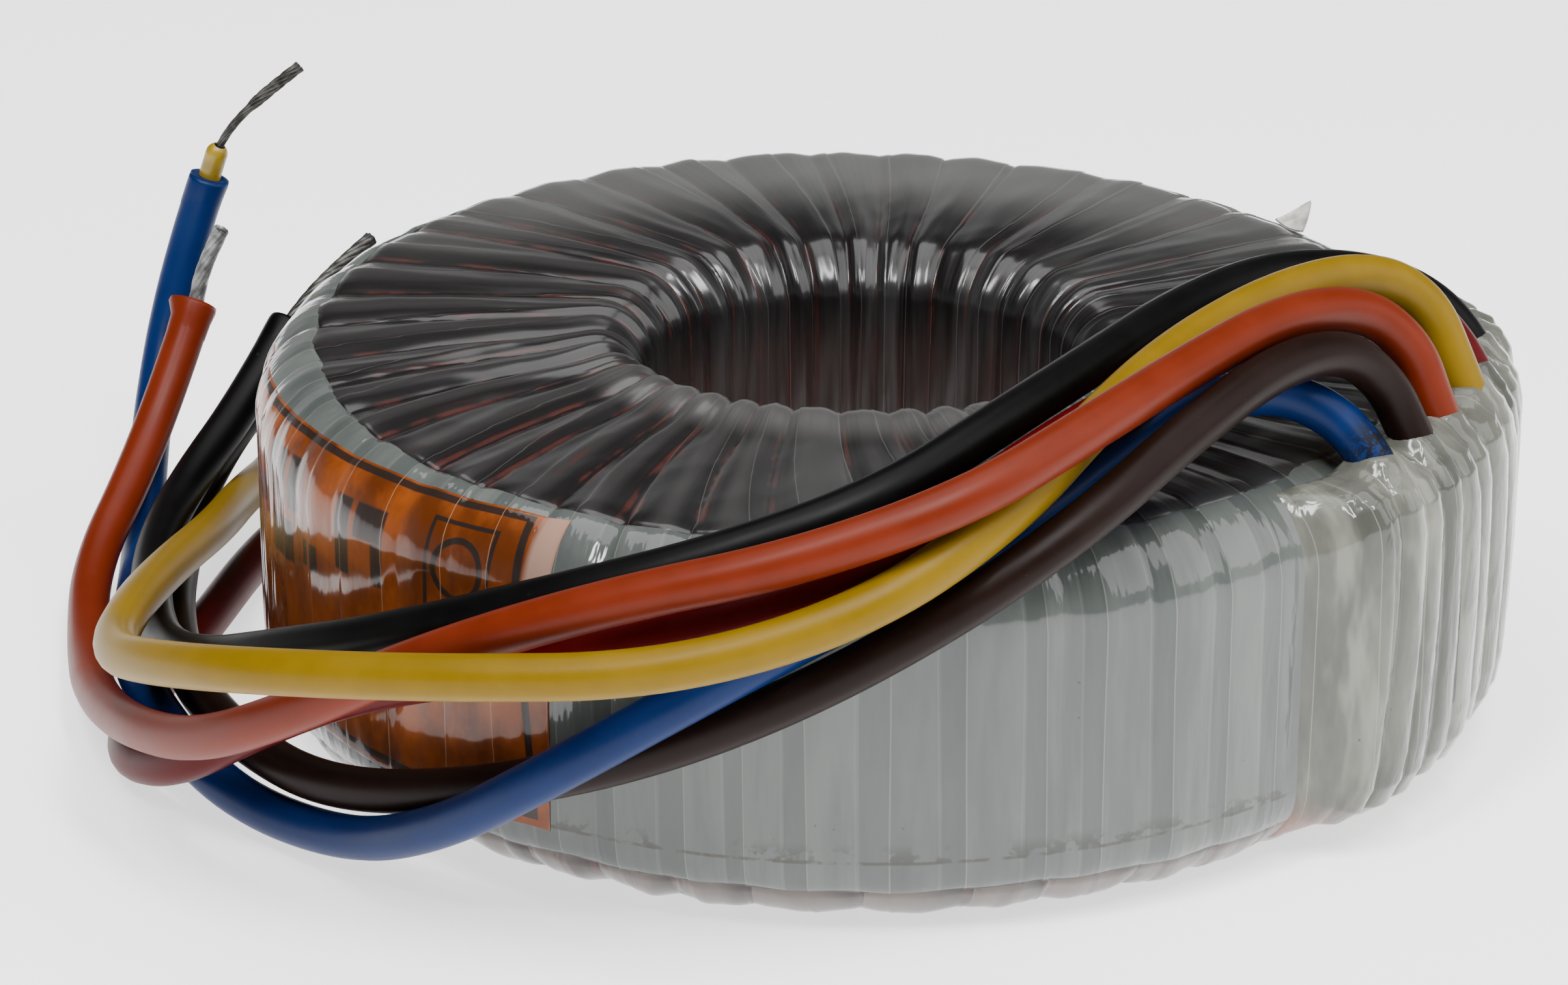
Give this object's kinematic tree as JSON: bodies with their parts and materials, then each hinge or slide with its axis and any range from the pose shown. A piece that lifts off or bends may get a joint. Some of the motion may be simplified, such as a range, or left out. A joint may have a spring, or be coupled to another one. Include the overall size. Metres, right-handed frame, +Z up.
{
  "type": "toroidal transformer",
  "caption": "Film-wrapped toroidal mains transformer, a low ring with a centre hole and flying leads that leave a bulge on its rim and sweep round the front.",
  "frame": {"origin": "on the ring's axis, at the face it rests on", "axes": "+Z up along the ring's axis, +X towards the bulge where the leads come out, the leads sweep round the -Y side"},
  "size_m": [0.0978, 0.0899, 0.0353],
  "materials": {
    "clear_film": "clear polyester film over dark windings, glossy",
    "cover_film": "whitish crumpled polyester film, glossy",
    "white_tape": "white tape seen through clear film",
    "label": "orange-brown printed paper without print",
    "crepe_pad": "crepe paper",
    "enamelled_copper": "enamelled copper wire",
    "core_steel": "wound electrical steel strip",
    "splice_sleeve": "heat-shrink sleeve",
    "tinned_copper": "dull tinned strand",
    "pale_sleeve": "pale yellow translucent inner sleeve",
    "pvc_brown": "satin PVC",
    "pvc_blue": "satin PVC",
    "pvc_black": "satin PVC",
    "pvc_red": "satin PVC",
    "pvc_orange": "satin PVC",
    "pvc_yellow": "satin PVC"
  },
  "bodies": {
    "root": {"outer_film_wrap": "clear_film", "interlayer_film": "clear_film", "interwinding_film": "clear_film", "core_film_wrap": "clear_film", "leadout_cover_film": "cover_film", "film_tail": "clear_film", "rim_band": "white_tape", "rating_label": "label", "leadout_pad": "crepe_pad", "secondary_winding_a": "enamelled_copper", "secondary_winding_b": "enamelled_copper", "primary_winding": "enamelled_copper", "core": "core_steel", "inner_sleeve_blue": "pale_sleeve", "splice_sleeve_brown": "splice_sleeve", "solder_joint_brown": "tinned_copper", "winding_tail_brown": "enamelled_copper", "lead_brown": "pvc_brown", "tip_brown": "tinned_copper", "splice_sleeve_blue": "splice_sleeve", "solder_joint_blue": "tinned_copper", "winding_tail_blue": "enamelled_copper", "lead_blue": "pvc_blue", "tip_blue": "tinned_copper", "splice_sleeve_black": "splice_sleeve", "solder_joint_black": "tinned_copper", "winding_tail_black": "enamelled_copper", "lead_black": "pvc_black", "tip_black": "tinned_copper", "splice_sleeve_red": "splice_sleeve", "solder_joint_red": "tinned_copper", "winding_tail_red": "enamelled_copper", "lead_red": "pvc_red", "tip_red": "tinned_copper", "splice_sleeve_orange": "splice_sleeve", "solder_joint_orange": "tinned_copper", "winding_tail_orange": "enamelled_copper", "lead_orange": "pvc_orange", "tip_orange": "tinned_copper", "splice_sleeve_yellow": "splice_sleeve", "solder_joint_yellow": "tinned_copper", "winding_tail_yellow": "enamelled_copper", "lead_yellow": "pvc_yellow", "tip_yellow": "tinned_copper"}
  },
  "joints": []
}
